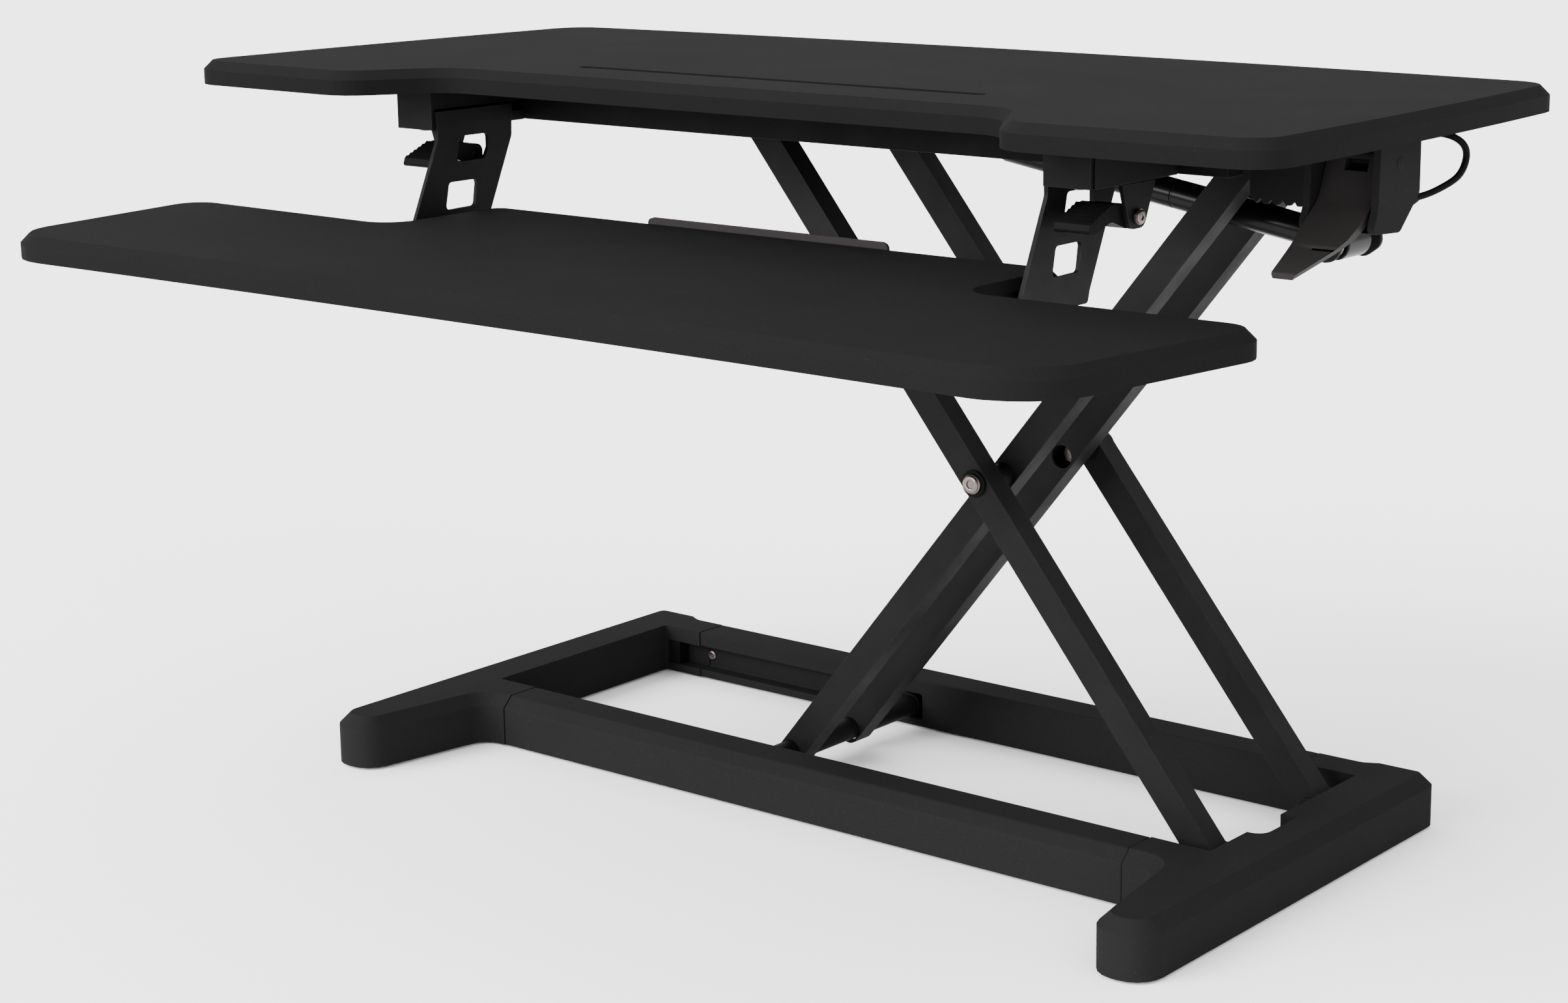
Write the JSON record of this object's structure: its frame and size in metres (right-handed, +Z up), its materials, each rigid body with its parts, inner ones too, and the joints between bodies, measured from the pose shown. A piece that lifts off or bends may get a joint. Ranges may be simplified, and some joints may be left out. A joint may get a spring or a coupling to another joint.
{
  "type": "standing_desk_converter",
  "caption": "Sit-stand desk converter: dark worktop on a sliding scissor lift with gas spring, release lever and a latched keyboard tray below.",
  "frame": {"origin": "The bottom centre of the object's box at rest, raised; +Z up.", "axes": "+X runs along the long side to the user's right, +Y away from the user, +Z up."},
  "size_m": [0.912, 0.604, 0.523],
  "materials": {
    "laminate_board": "matte dark laminate",
    "base_cover": "fine textured",
    "painted_tube": "satin black powder coat",
    "black_steel": "satin black",
    "rubber": "matte",
    "black_plastic": "moulded",
    "grey_plastic": "moulded warm grey",
    "bolt_steel": "dark burnished",
    "gloss_paint": "gloss black",
    "polished_rod": "polished"
  },
  "bodies": {
    "base": {"foot_left": "base_cover", "foot_right": "base_cover", "front_beam": "base_cover", "rear_beam": "base_cover", "track_stop_front": "rubber", "track_stop_rear": "rubber", "foot_pad_front_left": "rubber", "foot_pad_front_right": "rubber", "foot_pad_rear_left": "rubber", "foot_pad_rear_right": "rubber", "pivot_bracket_front": "black_steel", "pivot_bracket_rear": "black_steel", "pivot_pin_front": "black_steel", "pivot_pin_rear": "black_steel"},
    "outer_arms": {"outer_arm_front": "painted_tube", "outer_arm_rear": "painted_tube", "upper_axle": "black_steel", "centre_bolt_front": "bolt_steel", "centre_bolt_rear": "bolt_steel", "centre_washer_front": "black_plastic", "centre_washer_rear": "black_plastic", "centre_bush_front": "black_plastic", "centre_bush_rear": "black_plastic"},
    "upper_roller_front": {"upper_roller_front": "black_plastic"},
    "upper_roller_rear": {"upper_roller_rear": "black_plastic"},
    "inner_arms": {"inner_arm_front": "painted_tube", "inner_arm_rear": "painted_tube", "lower_axle": "black_steel", "pivot_axle": "black_steel", "crank_plate_front": "painted_tube", "crank_plate_rear": "painted_tube", "crank_pin": "bolt_steel"},
    "lower_roller_front": {"lower_roller_front": "black_plastic"},
    "lower_roller_rear": {"lower_roller_rear": "black_plastic"},
    "worktop": {"desktop": "laminate_board", "top_rail_front": "black_steel", "top_rail_rear": "black_steel", "mount_box_left": "black_steel", "mount_box_right": "black_steel", "latch_bracket_left": "black_steel", "latch_bracket_right": "black_steel", "latch_bolt_left": "bolt_steel", "latch_bolt_right": "bolt_steel", "spring_anchor": "black_steel", "anchor_pin": "black_steel", "handle_housing": "base_cover", "housing_bracket": "black_steel", "lever_pin": "black_steel", "release_cable": "black_plastic"},
    "release_paddle": {"release_lever": "grey_plastic"},
    "latch_left": {"latch_lever_left": "black_plastic"},
    "latch_right": {"latch_lever_right": "black_plastic"},
    "tray": {"keyboard_tray": "laminate_board", "tray_edge_strip": "grey_plastic", "tray_bracket_left": "black_steel", "tray_bracket_right": "black_steel"},
    "spring_rod": {"gas_rod": "polished_rod"},
    "spring_cylinder": {"gas_cylinder": "gloss_paint"}
  },
  "joints": [
    {"name": "lift", "type": "hinge", "parent": "base", "child": "outer_arms", "pos_m": [0.3193, 0.142, 0.018], "axis": [0, 1, 0], "range_deg": [-43.5, 0]},
    {"name": "scissor", "type": "hinge", "parent": "outer_arms", "child": "inner_arms", "pos_m": [0.12698, 0.142, 0.25382], "axis": [0, 1, 0], "range_deg": [0, 87]},
    {"name": "worktop_level", "type": "hinge", "parent": "inner_arms", "child": "worktop", "pos_m": [0.3193, 0.142, 0.48963], "axis": [0, 1, 0], "range_deg": [-43.5, 0]},
    {"name": "spring_swing", "type": "hinge", "parent": "worktop", "child": "spring_rod", "pos_m": [0, 0.142, 0.488], "axis": [0, -1, 0], "range_deg": [-4.4, 0]},
    {"name": "spring_stroke", "type": "slide", "parent": "spring_rod", "child": "spring_cylinder", "axis": [0.9874, 0, -0.1582], "range_m": [-0.049, 0]},
    {"name": "tray_slide", "type": "slide", "parent": "worktop", "child": "tray", "axis": [0, -1, 0], "range_m": [0, 0.06]},
    {"name": "paddle", "type": "hinge", "parent": "worktop", "child": "release_paddle", "pos_m": [0.402, 0.088, 0.489], "axis": [-1, 0, 0], "range_deg": [0, 14], "stiffness_Nm_per_rad": 0.4},
    {"name": "latch_left", "type": "hinge", "parent": "worktop", "child": "latch_left", "pos_m": [-0.282, -0.003, 0.457], "axis": [-1, 0, 0], "range_deg": [0, 10], "stiffness_Nm_per_rad": 0.2},
    {"name": "latch_right", "type": "hinge", "parent": "worktop", "child": "latch_right", "pos_m": [0.282, -0.003, 0.457], "axis": [-1, 0, 0], "range_deg": [0, 10], "stiffness_Nm_per_rad": 0.2},
    {"name": "upper_roller_front_spin", "type": "hinge", "parent": "outer_arms", "child": "upper_roller_front", "pos_m": [-0.06535, 0.055, 0.48963], "axis": [0, 1, 0], "continuous": true},
    {"name": "upper_roller_rear_spin", "type": "hinge", "parent": "outer_arms", "child": "upper_roller_rear", "pos_m": [-0.06535, 0.229, 0.48963], "axis": [0, 1, 0], "continuous": true},
    {"name": "lower_roller_front_spin", "type": "hinge", "parent": "inner_arms", "child": "lower_roller_front", "pos_m": [-0.06535, 0.0457, 0.018], "axis": [0, 1, 0], "continuous": true},
    {"name": "lower_roller_rear_spin", "type": "hinge", "parent": "inner_arms", "child": "lower_roller_rear", "pos_m": [-0.06535, 0.247, 0.018], "axis": [0, 1, 0], "continuous": true}
  ],
  "couplings": [
    {"joint": "scissor", "follows": "lift", "ratio": -2},
    {"joint": "worktop_level", "follows": "lift", "ratio": 1},
    {"joint": "spring_swing", "follows": "lift", "ratio": 0.1},
    {"joint": "spring_stroke", "follows": "lift", "m_per_rad": 0.064}
  ]
}
